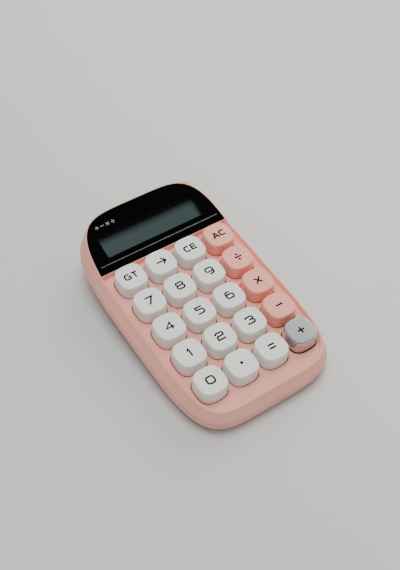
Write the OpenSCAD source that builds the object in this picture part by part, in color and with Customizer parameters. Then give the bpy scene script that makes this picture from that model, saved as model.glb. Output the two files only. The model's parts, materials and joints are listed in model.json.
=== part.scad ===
// Desk calculator with mechanical keys, in millimetres.
// Two frames are used. The table frame has Z up from the table. The deck frame
// has its origin at the middle of the key grid on the key deck, with Z square
// to the deck, and is tilted up towards the display.

/* [Keys] */
// Distance between key centres
key_pitch = 19; // [18.5:0.25:19.5]
// Width of a key cap at its skirt
cap_w = 16.5; // [16.2:0.1:16.6]
// Height of a key cap's flat top above the deck
cap_h = 8.15; // [7.8:0.05:8.6]
// How far a key travels when it is pressed
key_travel = 3; // [2:0.1:3]
// Width of a key's hole in the deck
hole_w = 17.3; // [17.15:0.05:17.4]

/* [Case] */
// Widest half-width of the case
half_w = 45.6; // [45.2:0.1:46.2]
// Reach of the case in front of its widest place
front_reach = 81; // [80.5:0.1:82]
// Reach of the case behind its widest place
rear_reach = 64.6; // [64.2:0.1:65.4]
// Thickness of the case walls
wall = 2; // [1.8:0.1:2.2]
// Depth of the flat underside below the deck
base_depth = 14.6; // [14.4:0.1:15]
// Height of the rim above the deck at the sides
rim_h = 2.5; // [2.2:0.1:2.7]

/* [Display] */
// Tilt of the display lens above the key deck, in degrees
hood_tilt = 14; // [13:0.5:15]
// Thickness of the display lens
lens_t = 1.6; // [1.4:0.1:1.8]
// Width of the window in front of the liquid crystal cell
window_w = 63; // [62:0.2:63.4]
// Height of that window, along the lens
window_h = 13.8; // [13:0.2:14]

/* [Stance] */
// Tilt of the key deck above the table, in degrees
deck_tilt = 4; // [3.8:0.1:4.2]

/* [Batteries] */
// Diameter of a battery cell
cell_d = 10.5; // [10:0.1:10.5]
// Length of a battery cell without its button
cell_l = 43.6; // [43:0.1:43.8]

/* [Hidden] */
$fn = 48;
GAP = 0.3;
EPS = 0.02;

// Placing the two frames
foot_y = -44;
foot_drop = 1.3;
deck_lift = (base_depth + foot_drop) * cos(deck_tilt) - foot_y * sin(deck_tilt);
mid_y = 22;
parting_z = -7.5;
centre_shift = parting_z * sin(deck_tilt)
    - (mid_y + (rear_reach - front_reach) / 2) * cos(deck_tilt);

// Outline of the case, a superellipse with unlike front and rear halves
OUTLINE_N = 96;
crest_inset = 4.03;
deck_inset = 5.9;
lip_play = 0.55;
lip_t = 1.75;
case_boss_d = 5.6;
case_pilot_d = 1.7;
plate_boss_d = 4.2;
plate_pilot_d = 1.2;

// Strap eye at the rear right corner
strap_at = [33.2, 80.9];
strap_d = 10.6;
strap_z = [0.8, 4.4];
strap_hole_at = [35, 82.9];
strap_hole_d = 2;

// Display hood
hood_y = 48.9;
hood_z = 3.4;
lens_inset = crest_inset + 0.3;
lens_gap = 0.1;
window_v = 8.1;
ledge_t = 1.5;
trim_v = 4.6;
trim_l = 76.6;
trim_w = 0.45;
trim_t = 0.3;
ribbon_w = 30;
ribbon_t = 0.3;
glass_w = window_w + 2;
glass_h = window_h + 4;
glass_t = 1.1;
holder_w = window_w + 4.6;
holder_h = window_h + 5.6;

// Switch stack, measured from the deck
deck_t = 2;
plate_top = -5;
plate_t = 1.4;
board_top = -8.6;
board_t = 1.6;
plate_w = 77.2;
plate_l = 95.2;
board_inset = 0.4;
switch_w = 13.7;
flange_w = 15.2;
flange_t = 0.7;
upper_w = 12;
upper_top = 0.6;
roof_t = 1.2;
peg_d = 3.8;
stem_w = 6;
skirt_z = -0.8;
cap_e = 3;
cap_wall = 1.25;
cap_roof = 1.8;
socket_z = 3.9;
socket_d = 5.6;
cross_l = 4;
cross_w = 1.2;
cross_top = 5.9;
cross_play = 0.1;
spring_d = 5;
spring_top = -2.3;
spring_bottom = spring_top - key_travel - 2.2;

// Battery housing, in the table frame
bay_front = 51.5;
bay_rear = 79.5;
bay_half_w = 33;
bay_clear = 1;
bay_wall = 1.5;
bay_top = 15.2;
bay_r = 5;
door_half_w = 25;
door_t = 1.6;
door_front = 54.4;
tongue_w = 1.2;
tongue_t = 0.7;
cell_pitch = cell_d + 0.5;
cell_y = 65.4;
cell_z = bay_clear + door_t + GAP + cell_d / 2;
cell_half_w = 25.2;
wire_x = 25.2;
wire_d = 1.2;
foot_d = 8;
foot_x = 30;
rear_foot_at = [29.8, 65.5];

// Fasteners
case_screws_at = [[-27, -50.8], [27, -50.8], [-37, 61], [37, 61]];
plate_screws_at = [[-19, 28.5], [19, 28.5], [0, 9.5], [-19, -28.5], [19, -28.5]];

PINK = "#e8b7a8";
WHITE = "#ecece6";
STEEL = "#b9bcbd";
BLACK = "#0b0c0d";

// Every key: name, column, row from the front, cap colour
KEYS = [
    ["gt", 0, 4, WHITE], ["back", 1, 4, WHITE], ["ce", 2, 4, WHITE], ["ac", 3, 4, PINK],
    ["7", 0, 3, WHITE], ["8", 1, 3, WHITE], ["9", 2, 3, WHITE], ["divide", 3, 3, PINK],
    ["4", 0, 2, WHITE], ["5", 1, 2, WHITE], ["6", 2, 2, WHITE], ["times", 3, 2, PINK],
    ["1", 0, 1, WHITE], ["2", 1, 1, WHITE], ["3", 2, 1, WHITE], ["minus", 3, 1, PINK],
    ["0", 0, 0, WHITE], ["point", 1, 0, WHITE], ["equals", 2, 0, WHITE], ["plus", 3, 0, STEEL]
];

// ---- Curves ----

function signed_power(v, p) = sign(v) * pow(abs(v), p);

// Points of a superellipse that is w wide each way
function squircle(w, e, n = 40) = [for (i = [0:n - 1])
    let (a = 360 * (i + 0.5) / n)
    [w / 2 * signed_power(cos(a), 2 / e), w / 2 * signed_power(sin(a), 2 / e)]];

function smooth(t) = let (u = min(1, max(0, t))) u * u * (3 - 2 * u);

// The case outline at an inset; f runs from 0 at the parting line to 1 at the rim.
// Points i and n - 1 - i are mirror images across the middle plane.
function outline(inset, f = 0, n = OUTLINE_N) = [for (i = [0:n - 1])
    let (a = 90 + 360 * (i + 0.5) / n,
         rear = sin(a) > 0,
         e = rear ? 5.5 - 0.5 * f : 5.1 + 1.1 * f,
         reach = (rear ? rear_reach : front_reach) - inset,
         v = signed_power(sin(a), 2 / e),
         taper = rear ? 1 - (0.09 - 0.05 * f) * v * v : 1)
    [(half_w - inset) * signed_power(cos(a), 2 / e) * taper, mid_y + reach * v]];

// Height of the case's top edge above the deck, which depends only on y
function top_z(y) = y > hood_y - 1
    ? hood_z + (y - hood_y) * tan(hood_tilt)
    : rim_h - (rim_h - 0.5) * smooth((-40 - y) / 14);

// How far the ceiling inside the hood is above the underside of the deck
function ceiling_lift(y) = y < hood_y
    ? 0
    : hood_z - (lens_t + ledge_t) / cos(hood_tilt) + deck_t + (y - hood_y) * tan(hood_tilt);

function rim_share(z) = min(1, max(0, (z - parting_z) / (rim_h - parting_z)));

// Rings of the outer wall and of the cavity: each is a list of 3D points
function wall_ring(inset, z) = let (f = rim_share(z))
    [for (p = outline(inset, f)) [p[0], p[1], z + f * (top_z(p[1]) - rim_h)]];
function cavity_ring(inset, z) = let (f = max(0, (z - parting_z) / (-deck_t - parting_z)))
    [for (p = outline(inset, min(1, f))) [p[0], p[1], z + f * ceiling_lift(p[1])]];
function level_ring(inset, z, f = 0) = [for (p = outline(inset, f)) [p[0], p[1], z]];

// ---- General shapes ----

// A closed solid through rings of equal length, from the lowest to the highest
module loft(rings) {
    n = len(rings[0]);
    last = len(rings) - 1;
    points = [for (r = rings) for (p = r) p];
    sides = [for (j = [0:last - 1]) for (i = [0:n - 1])
        let (a = j * n + i, b = j * n + (i + 1) % n) each [[a, a + n, b], [b, a + n, b + n]]];
    bottom = [for (i = [0:n / 2 - 2])
        each [[i, i + 1, n - 1 - i], [i + 1, n - 2 - i, n - 1 - i]]];
    lid = [for (i = [0:n / 2 - 2])
        each [[i, n - 1 - i, i + 1] + [1, 1, 1] * last * n,
              [i + 1, n - 1 - i, n - 2 - i] + [1, 1, 1] * last * n]];
    polyhedron(points, concat(sides, bottom, lid), convexity = 6);
}

module deck_frame() {
    translate([0, centre_shift, deck_lift]) rotate([deck_tilt, 0, 0]) children();
}

module table_frame() {
    translate([0, centre_shift, 0]) children();
}

// X along the lens, Y up its slope, Z out of its face
module lens_frame() {
    translate([0, hood_y, hood_z]) rotate([hood_tilt, 0, 0]) children();
}

module squircle_prism(w, e, z0, z1, n = 40) {
    translate([0, 0, z0]) linear_extrude(z1 - z0) polygon(squircle(w, e, n));
}

module block(x, y, z0, z1) {
    translate([-x / 2, -y / 2, z0]) cube([x, y, z1 - z0]);
}

// A block with four round upright edges
module rounded_block(x, y, r, z0, z1) {
    translate([0, 0, z0]) linear_extrude(z1 - z0) {
        square([x - 2 * r, y], center = true);
        square([x, y - 2 * r], center = true);
        for (sx = [-1, 1], sy = [-1, 1])
            translate([sx * (x / 2 - r), sy * (y / 2 - r)]) circle(r);
    }
}

module rod(d, z0, z1) {
    translate([0, 0, z0]) cylinder(d = d, h = z1 - z0);
}

// A pan-head screw that points up, with its head's underside at z = 0
module screw(d, head_d, head_h, length) {
    difference() {
        union() {
            rod(head_d, -head_h, 0);
            rod(d, -EPS, length);
        }
        block(head_d * 0.7, 0.5, -head_h - 1, -head_h * 0.5);
        block(0.5, head_d * 0.7, -head_h - 1, -head_h * 0.5);
    }
}

module key_place(k) {
    translate([(k[1] - 1.5) * key_pitch, (k[2] - 2) * key_pitch, 0]) children();
}

module at_each_key() {
    for (k = KEYS) key_place(k) children();
}

module at_points(points) {
    for (p = points) translate([p[0], p[1], 0]) children();
}

// ---- Case ----

module outer_shell() {
    loft([wall_ring(0, parting_z), wall_ring(0.3, -5), wall_ring(1.45, -2.5),
          wall_ring(2.6, 0), wall_ring(3.3, 1.6), wall_ring(3.62, 2.2),
          wall_ring(crest_inset, rim_h)]);
}

module inner_hollow() {
    loft([cavity_ring(wall, parting_z - 1), cavity_ring(wall, parting_z),
          cavity_ring(wall + 0.35, -5), cavity_ring(wall + 1.9, -2.6),
          cavity_ring(wall + 2.5, -deck_t)]);
}

// The sunk key deck, with a fillet where it meets the rim
module deck_well() {
    difference() {
        loft([level_ring(deck_inset, 0, 1), level_ring(deck_inset - 0.6, 0.25, 1),
              level_ring(deck_inset - 1, 1.1, 1), level_ring(crest_inset + 0.15, rim_h + 0.2, 1),
              level_ring(crest_inset, 20, 1)]);
        translate([-60, hood_y - 0.4, -5]) cube([120, 60, 40]);
    }
}

module lens_shape(gap) {
    intersection() {
        polygon([for (p = outline(lens_inset - gap, 1))
            [p[0], (p[1] - hood_y) / cos(hood_tilt)]]);
        translate([-60, -gap]) square([120, 60]);
    }
}

// Shape that keeps the bosses and ribs inside the case wall
module under_ceiling() {
    intersection() {
        children();
        loft([cavity_ring(wall + lip_t, parting_z - 4), cavity_ring(wall + lip_t, parting_z + 1.9),
              cavity_ring(wall + 0.05, -5), cavity_ring(wall + 1.6, -2.6),
              cavity_ring(wall + 2.2, -deck_t + 0.2)]);
    }
}

module strap_eye() {
    translate(strap_at) rod(strap_d, strap_z[0], strap_z[1]);
}

module strap_hole() {
    translate(strap_hole_at) rod(strap_hole_d, strap_z[0] - 2, strap_z[1] + 3);
}

module top_case() {
    color(PINK) deck_frame() {
        difference() {
            union() {
                difference() {
                    union() {
                        outer_shell();
                        strap_eye();
                    }
                    inner_hollow();
                }
                under_ceiling() {
                    at_points(case_screws_at) rod(case_boss_d, parting_z - 2, 20);
                    at_points(plate_screws_at) rod(plate_boss_d, plate_top + 0.05, -deck_t + 0.1);
                }
            }
            deck_well();
            at_each_key() squircle_prism(hole_w, cap_e, -4, 4);
            lens_frame() translate([0, 0, -lens_t - 0.05]) linear_extrude(20) lens_shape(lens_gap);
            lens_frame() translate([0, window_v + window_h / 2, 0])
                block(window_w + 0.6, window_h + 0.6, -8, 1);
            at_points(case_screws_at) rod(case_pilot_d, -20, parting_z + 6);
            at_points(plate_screws_at) rod(plate_pilot_d, -6, -1.2);
            strap_hole();
        }
    }
}

module base_shell() {
    loft([level_ring(2.4, -base_depth), level_ring(1.25, -13.9), level_ring(0.8, -12.8),
          level_ring(0.35, -10.5), level_ring(0, parting_z - 0.05)]);
}

module base_hollow() {
    loft([level_ring(3.6, -base_depth + 1.8), level_ring(2.9, -12),
          level_ring(wall + 0.35, -10), level_ring(wall, parting_z + 1)]);
}

// Ring that locates the top case on the bottom case
module locating_lip() {
    difference() {
        union() {
            translate([0, 0, parting_z - 2]) linear_extrude(1.9) polygon(outline(wall - 0.5));
            translate([0, 0, parting_z - 1]) linear_extrude(2.6) polygon(outline(wall + lip_play));
        }
        translate([0, 0, parting_z - 3]) linear_extrude(6) polygon(outline(wall + lip_t - GAP));
    }
}

// Housing under the rear that holds the cells and sets the tilt of the deck
module bay_block() {
    translate([0, (bay_front + bay_rear) / 2, 0])
        rounded_block(2 * bay_half_w, bay_rear - bay_front, bay_r, bay_clear, bay_top);
}

module bay_hollow() {
    half_x = cell_half_w + 1.4;
    y0 = cell_y - cell_pitch / 2 - cell_d / 2 - 0.4;
    z0 = bay_clear + door_t + 0.2;
    translate([-half_x, y0, z0])
        cube([2 * half_x, bay_rear - bay_wall - GAP - y0, cell_z + cell_d / 2 + GAP - z0]);
}

// Room for the door, its tongues and its rear lip over their whole slide
module door_channel() {
    translate([-door_half_w - 0.2, door_front - GAP, -1])
        cube([2 * door_half_w + 0.4, 40, bay_clear + door_t + 1.3]);
    translate([-door_half_w - tongue_w - GAP, door_front - GAP, bay_clear + 0.6])
        cube([2 * (door_half_w + tongue_w + GAP), 40, tongue_t + 0.6]);
    translate([-door_half_w - 0.2, bay_rear - bay_wall - GAP, -1])
        cube([2 * door_half_w + 0.4, 10, 8.6]);
}

module below_base() {
    intersection() {
        children();
        translate([0, 0, deck_lift]) rotate([deck_tilt, 0, 0])
            translate([-60, -80, -base_depth + 0.6 - 30]) cube([120, 190, 30]);
    }
}

module foot_pads(d) {
    for (s = [-1, 1]) {
        below_base() translate([s * foot_x, foot_y + 1, 0]) rod(d, 0, 9);
        translate([s * rear_foot_at[0], rear_foot_at[1], 0]) rod(d - 2.6, 0, bay_clear + 0.5);
    }
}

module bottom_case() {
    color(PINK) difference() {
        union() {
            deck_frame() difference() {
                base_shell();
                base_hollow();
            }
            deck_frame() locating_lip();
            table_frame() bay_block();
            deck_frame() at_points(case_screws_at) rod(6.4, -base_depth + 1, parting_z - 2.2);
        }
        table_frame() bay_hollow();
        table_frame() door_channel();
        table_frame() for (s = [-1, 1])
            translate([s * wire_x, cell_y, 0]) rod(2 * wire_d, 10, 20);
        table_frame() foot_pads(foot_d + 0.2);
        deck_frame() at_points(case_screws_at) {
            rod(2.4, -20, -5);
            rod(4.6, -20, -base_depth + 2.4);
        }
    }
}

// ---- Display ----

module display_lens() {
    color(BLACK) deck_frame() lens_frame() difference() {
        translate([0, 0, -lens_t]) linear_extrude(lens_t) lens_shape(0);
        translate([0, trim_v, 0]) block(trim_l + 0.1, trim_w + 0.1, -trim_t - 0.05, 1);
    }
}

module display_trim() {
    color(STEEL) deck_frame() lens_frame() translate([0, trim_v, 0])
        block(trim_l, trim_w, -trim_t, 0);
}

module lcd_glass() {
    color("#46595b") deck_frame() lens_frame()
        translate([0, window_v + window_h / 2, -lens_t - ledge_t - 0.05]) {
            block(glass_w, glass_h, -glass_t, 0);
            translate([0, 1, 0]) block(glass_w, glass_h - 2, -2 * glass_t, -glass_t - 0.05);
        }
}

module lcd_holder() {
    color("#2d2f31") deck_frame() lens_frame()
        translate([0, window_v + window_h / 2, -lens_t - ledge_t - 0.05]) difference() {
            rounded_block(holder_w, holder_h, 5, -3.6, 0);
            block(glass_w + 0.2, glass_h + 0.2, -2 * glass_t - 0.05, 1);
            block(window_w - 4, window_h - 4, -6, 1);
            translate([0, -glass_h / 2 - 1, 0])
                block(ribbon_w + 2, 6, -2 * glass_t - 0.05, 1);
        }
}

// A point of the lens frame's middle plane as [y, z] of the deck frame
function lens_point(v, w) = [hood_y + v * cos(hood_tilt) - w * sin(hood_tilt),
                             hood_z + v * sin(hood_tilt) + w * cos(hood_tilt)];

// A band of even thickness t through points given as [y, z]
function band(points, t) = concat(
    points, [for (i = [len(points) - 1:-1:0]) points[i] + [0, t]]);

// From the board's rear edge up and through the holder to the edge of the front glass
module lcd_ribbon() {
    under_glass = -lens_t - ledge_t - glass_t - ribbon_t - 0.1;
    edge_v = window_v + window_h / 2 - glass_h / 2;
    route = [[45.2, board_top + 0.05], [47.3, board_top + 0.05], [49.6, board_top + 1],
             [51.6, -3.6], lens_point(edge_v - 1.5, under_glass), lens_point(edge_v + 0.7, under_glass)];
    color("#b9782b") deck_frame() translate([-ribbon_w / 2, 0, 0]) rotate([90, 0, 90])
        linear_extrude(ribbon_w) polygon(band(route, ribbon_t));
}

// ---- Electronics and switches ----

module plate_outline(inset) {
    rounded_block(plate_w - 2 * inset, plate_l - 2 * inset, 9 - inset, 0, 1);
}

module switch_plate() {
    color("#3c3f41") deck_frame() difference() {
        translate([0, 0, plate_top - plate_t]) scale([1, 1, plate_t]) plate_outline(0);
        at_each_key() block(switch_w + 0.2, switch_w + 0.2, -10, 0);
        at_points(plate_screws_at) rod(1.9, -10, 0);
    }
}

module main_board() {
    color("#1f5a3c") deck_frame() difference() {
        translate([0, 0, board_top - board_t]) scale([1, 1, board_t]) plate_outline(board_inset);
        at_points(plate_screws_at) rod(4.2, -12, 0);
        at_each_key() rod(peg_d + 0.2, -12, 0);
    }
}

module controller_chips() {
    under = board_top - board_t - 0.05;
    color("#17181a") deck_frame() {
        translate([0, 28.5, 0]) block(7, 7, under - 1.1, under);
        translate([-19, 9.5, 0]) block(4.2, 3.6, under - 0.9, under);
        translate([19, 9.5, 0]) block(5, 2.2, under - 1, under);
        for (x = [-9.5:3.8:9.5]) translate([x, 33.6, 0]) block(1.6, 0.9, under - 0.7, under);
        translate([0, -9.5, 0]) rod(5.4, under - 1.3, under);
    }
}

module switch_bases() {
    color("#24262a") deck_frame() at_each_key() {
        difference() {
            union() {
                block(switch_w, switch_w, board_top + 0.05, plate_top + 0.05);
                rounded_block(flange_w, flange_w, 1, plate_top + 0.05, plate_top + flange_t);
                rod(peg_d, board_top - board_t - 0.6, board_top + 0.1);
            }
            block(11.4, 11.4, spring_bottom, 0);
        }
        for (s = [-1, 1]) translate([s * 3.6, 2.4, 0])
            rod(1.2, spring_bottom - 0.1, spring_bottom + 1.6);
    }
}

module switch_tops() {
    color("#d9dadb") deck_frame() at_each_key() difference() {
        rounded_block(upper_w, upper_w, 2.5, plate_top + flange_t + 0.05, upper_top);
        rounded_block(upper_w - 2, upper_w - 2, 1.6, -10, upper_top - roof_t);
        block(stem_w + 2 * GAP, stem_w + 2 * GAP, -10, 4);
    }
}

module switch_springs() {
    color(STEEL) deck_frame() at_each_key() difference() {
        rod(spring_d, spring_bottom + 0.05, spring_top);
        rod(spring_d - 1.1, spring_bottom - 1, 0);
    }
}

module slider(k) {
    color("#7a4a32") deck_frame() key_place(k) {
        block(stem_w, stem_w, spring_top + 0.05, socket_z - 0.1);
        block(9, 8.4, spring_top + 0.05, upper_top - roof_t - 0.05);
        rod(3.2, spring_top - 1.4, spring_top + 0.1);
        block(cross_l, cross_w, socket_z - 0.2, cross_top);
        block(cross_w, cross_l, socket_z - 0.2, cross_top);
    }
}

module keycap(k) {
    ceiling = cap_h - cap_roof;
    slot_l = cross_l + cross_play;
    slot_w = cross_w + cross_play;
    color(k[3]) deck_frame() key_place(k) difference() {
        union() {
            difference() {
                hull() {
                    squircle_prism(cap_w, cap_e, skirt_z, skirt_z + EPS);
                    squircle_prism(cap_w - 0.45, cap_e, cap_h - 1.3, cap_h - 1.3 + EPS);
                    squircle_prism(cap_w - 0.65, cap_e, cap_h - 0.45, cap_h - 0.45 + EPS);
                    squircle_prism(cap_w - 1.8, cap_e, cap_h - EPS, cap_h);
                }
                squircle_prism(cap_w - 2 * cap_wall, cap_e, skirt_z - 1, ceiling);
            }
            rod(socket_d, socket_z, ceiling + 0.2);
        }
        block(slot_l, slot_w, socket_z - 1, cross_top + 0.2);
        block(slot_w, slot_l, socket_z - 1, cross_top + 0.2);
    }
}

// ---- Power and fixings ----

module battery_door() {
    color(PINK) table_frame() {
        difference() {
            translate([-door_half_w, door_front, bay_clear])
                cube([2 * door_half_w, bay_rear - door_front, door_t]);
            for (i = [0:4]) translate([0, bay_rear - 9 + 1.5 * i, bay_clear])
                block(16, 0.6, -1, 0.4);
        }
        for (s = [-1, 1]) translate([s * (door_half_w + tongue_w / 2 - 0.1),
                                     (door_front + bay_rear - bay_wall) / 2, 0])
            block(tongue_w + 0.2, bay_rear - bay_wall - door_front, bay_clear + 0.9,
                  bay_clear + 0.9 + tongue_t);
        translate([-door_half_w, bay_rear - bay_wall, bay_clear])
            cube([2 * door_half_w, bay_wall, 6]);
    }
}

module cell() {
    rotate([0, 90, 0]) {
        rod(cell_d, -cell_l / 2 - 0.2, cell_l / 2 - 0.2);
        rod(3.8, cell_l / 2 - 0.3, cell_l / 2 + 0.7);
    }
}

module battery_cells() {
    color("#2c6e73") table_frame() for (s = [-1, 1])
        translate([0, cell_y + s * cell_pitch / 2, cell_z]) rotate([0, 0, s > 0 ? 180 : 0]) cell();
}

module battery_contacts() {
    color("#c9b26a") table_frame() for (s = [-1, 1], e = [-1, 1])
        translate([0, cell_y + s * cell_pitch / 2, cell_z]) {
            translate([e * (cell_half_w + 0.9), 0, 0]) rotate([0, 90, 0])
                rounded_block(8.4, 8.4, 1.2, -0.2, 0.2);
            if (e * s > 0) scale([e, 1, 1]) rotate([0, 90, 0]) difference() {
                rod(6.4, cell_l / 2 + 0.25, cell_half_w + 0.72);
                rod(5, 0, 40);
            }
            else scale([e, 1, 1]) rotate([0, 90, 0])
                rod(3, cell_l / 2 + 0.75, cell_half_w + 0.72);
        }
}

// A wire through points, as rods with a slightly fuller ball at each bend
module wire(points, d) {
    for (i = [0:len(points) - 2]) {
        v = points[i + 1] - points[i];
        translate(points[i]) rotate([0, acos(v[2] / norm(v)), atan2(v[1], v[0])])
            cylinder(d = d, h = norm(v), $fn = 16);
        if (i < len(points) - 2) translate(points[i + 1]) sphere(d = d * 1.2, $fn = 16);
    }
}

module battery_wires() {
    color("#a3241f") table_frame() for (s = [-1, 1])
        wire([[s * wire_x, cell_y, 12.7], [s * wire_x, cell_y, 17], [s * 21.5, 54.4, 16.8],
              [s * 20, 50.6, 16.2], [s * 19.5, 49, 14.9], [s * 19, 46.2, 14.3]], wire_d);
}

module rubber_feet() {
    color("#3a3a3c") table_frame() foot_pads(foot_d);
}

module case_screws() {
    color(STEEL) deck_frame() at_points(case_screws_at)
        translate([0, 0, -base_depth + 2.35]) screw(1.6, 4, 1.5, 9.5);
}

module plate_screws() {
    color(STEEL) deck_frame() at_points(plate_screws_at)
        translate([0, 0, plate_top - plate_t - 0.05]) screw(1.1, 3, 1, 4.6);
}

// ---- Nodes ----

top_case();
bottom_case();
display_lens();
display_trim();
lcd_glass();
lcd_holder();
lcd_ribbon();
switch_plate();
main_board();
controller_chips();
switch_bases();
switch_tops();
switch_springs();
battery_door();
battery_cells();
battery_contacts();
battery_wires();
rubber_feet();
case_screws();
plate_screws();
for (k = KEYS) {
    keycap(k);
    slider(k);
}
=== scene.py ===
"""Looks of the desk calculator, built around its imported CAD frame.

Lengths are in millimetres until a mesh is made. Most pieces are drawn in the deck
frame, whose origin is the middle of the key grid on the key deck, with Z square to
the deck; DECK takes that frame to the row frame in metres.
"""
import json
import math

import bmesh
import bpy
import numpy as np
from mathutils import Matrix, Vector


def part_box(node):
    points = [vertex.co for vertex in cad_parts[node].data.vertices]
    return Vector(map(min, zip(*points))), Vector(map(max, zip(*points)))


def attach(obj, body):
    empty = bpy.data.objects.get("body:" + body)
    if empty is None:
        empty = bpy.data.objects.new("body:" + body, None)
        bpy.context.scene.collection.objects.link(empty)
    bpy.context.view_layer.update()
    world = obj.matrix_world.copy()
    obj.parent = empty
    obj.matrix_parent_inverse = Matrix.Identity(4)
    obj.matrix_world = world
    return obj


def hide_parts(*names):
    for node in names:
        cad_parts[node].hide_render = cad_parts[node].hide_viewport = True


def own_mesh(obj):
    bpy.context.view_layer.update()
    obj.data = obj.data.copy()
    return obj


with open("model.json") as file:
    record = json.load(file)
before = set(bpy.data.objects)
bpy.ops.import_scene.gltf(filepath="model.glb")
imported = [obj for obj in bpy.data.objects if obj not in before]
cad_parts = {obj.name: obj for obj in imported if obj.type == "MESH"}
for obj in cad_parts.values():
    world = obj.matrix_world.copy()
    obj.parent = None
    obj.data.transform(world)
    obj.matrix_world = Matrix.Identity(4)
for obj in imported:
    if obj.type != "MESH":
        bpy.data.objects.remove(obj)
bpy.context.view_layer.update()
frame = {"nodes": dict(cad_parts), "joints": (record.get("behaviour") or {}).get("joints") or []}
MM = 0.001

# ---- The case's driving sizes, as in the CAD model ----

PITCH = 19
HALF_W = 45.6
FRONT_REACH = 81
REAR_REACH = 64.6
MID_Y = 22
PARTING_Z = -7.5
RIM_H = 2.5
BASE_DEPTH = 14.6
CREST_INSET = 4.03
DECK_INSET = 5.9
DECK_T = 2
WALL = 2
HOOD_Y = 48.9
HOOD_Z = 3.4
HOOD_TILT = math.radians(14)
LENS_T = 1.6
LENS_INSET = CREST_INSET + 0.3
WINDOW_V = 8.1
WINDOW_W = 63
WINDOW_H = 13.8
TRIM_V = 4.6
TRIM_L = 76.6
TRIM_W = 0.45
TRIM_T = 0.3
LEDGE_T = 1.5
HOLE_W = 17.3
CAP_H = 8.15
CAP_E = 3
SKIRT_Z = -0.8
PLATE_MID_Z = -5.7
SPRING_TOP = -2.3
SPRING_BOTTOM = -7.5
SPRING_D = 5

CAP_ROOF = 1.8
SOCKET_Z = 3.9
CROSS_TOP = 6.1

CASE_SCREWS = ((-27, -50.8), (27, -50.8), (-37, 61), (37, 61))
PLATE_SCREWS = ((-19, 28.5), (19, 28.5), (0, 9.5), (-19, -28.5), (19, -28.5))

BAY_FRONT = 51.5
BAY_REAR = 79.5
BAY_HALF_W = 33
BAY_CLEAR = 1
BAY_TOP = 15.2
CELL_Y = 65.4
DOOR_FRONT = 54.4
DOOR_HALF_W = 25
DOOR_T = 1.6
GAP = 0.3

KEYS = (
    ("gt", 0, 4), ("back", 1, 4), ("ce", 2, 4), ("ac", 3, 4),
    ("7", 0, 3), ("8", 1, 3), ("9", 2, 3), ("divide", 3, 3),
    ("4", 0, 2), ("5", 1, 2), ("6", 2, 2), ("times", 3, 2),
    ("1", 0, 1), ("2", 1, 1), ("3", 2, 1), ("minus", 3, 1),
    ("0", 0, 0), ("point", 1, 0), ("equals", 2, 0), ("plus", 3, 0),
)
PINK_KEYS = ("ac", "divide", "times", "minus")


def deck_matrix():
    """Deck frame in mm to row frame in metres, from the keys' axis and the switch plate."""
    axis = next(j["axis"] for j in frame["joints"] if j["name"] == "press_7")
    tilt = math.atan2(axis[1], -axis[2])
    low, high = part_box("switch_plate")
    turn = Matrix.Rotation(tilt, 4, "X")
    up = turn.to_3x3() @ Vector((0, 0, 1))
    origin = (low + high) / 2 - up * PLATE_MID_Z * MM
    return Matrix.Translation(origin) @ turn @ Matrix.Scale(MM, 4)


DECK = deck_matrix()
LENS = DECK @ Matrix.Translation((0, HOOD_Y, HOOD_Z)) @ Matrix.Rotation(HOOD_TILT, 4, "X")
DECK_UP = (DECK.to_3x3() @ Vector((0, 0, 1))).normalized()
CENTRE_SHIFT = DECK.translation.y / MM
TABLE = Matrix.Translation((0, DECK.translation.y, 0)) @ Matrix.Scale(MM, 4)


# ---- Curves ----

def unit_superellipse(e, theta):
    """Point of the superellipse of exponent e on the ray at angle theta."""
    c, s = math.cos(theta), math.sin(theta)
    r = (abs(c) ** e + abs(s) ** e) ** (-1 / e)
    return r * c, r * s


def squircle(w, e, n):
    points = (unit_superellipse(e, 2 * math.pi * (i + 0.5) / n) for i in range(n))
    return [(w / 2 * x, w / 2 * y) for x, y in points]


def smooth(t):
    u = min(1, max(0, t))
    return u * u * (3 - 2 * u)


def outline(inset, f, n):
    """The case outline at an inset; f is 0 at the parting line and 1 at the rim."""
    ring = []
    for i in range(n):
        theta = math.pi / 2 + 2 * math.pi * (i + 0.5) / n
        rear = math.sin(theta) > 0
        e = 5.5 - 0.5 * f if rear else 5.1 + 1.1 * f
        reach = (REAR_REACH if rear else FRONT_REACH) - inset
        u, v = unit_superellipse(e, theta)
        taper = 1 - (0.09 - 0.05 * f) * v * v if rear else 1
        ring.append(((HALF_W - inset) * u * taper, MID_Y + reach * v))
    return ring


def top_z(y):
    """Height of the case's top edge above the deck."""
    if y > HOOD_Y - 1:
        return HOOD_Z + (y - HOOD_Y) * math.tan(HOOD_TILT)
    return RIM_H - (RIM_H - 0.5) * smooth((-40 - y) / 14)


def ceiling_lift(y):
    if y < HOOD_Y:
        return 0
    ledge = HOOD_Z - (LENS_T + LEDGE_T) / math.cos(HOOD_TILT) + DECK_T
    return ledge + (y - HOOD_Y) * math.tan(HOOD_TILT)


def share(z, low, high):
    return min(1, max(0, (z - low) / (high - low)))


def wall_ring(inset, z, n):
    f = share(z, PARTING_Z, RIM_H)
    return [(x, y, z + f * (top_z(y) - RIM_H)) for x, y in outline(inset, f, n)]


def cavity_ring(inset, z, n):
    f = share(z, PARTING_Z, -DECK_T)
    return [(x, y, z + f * ceiling_lift(y)) for x, y in outline(inset, f, n)]


def level_ring(inset, z, n, f=0):
    return [(x, y, z) for x, y in outline(inset, f, n)]


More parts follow.
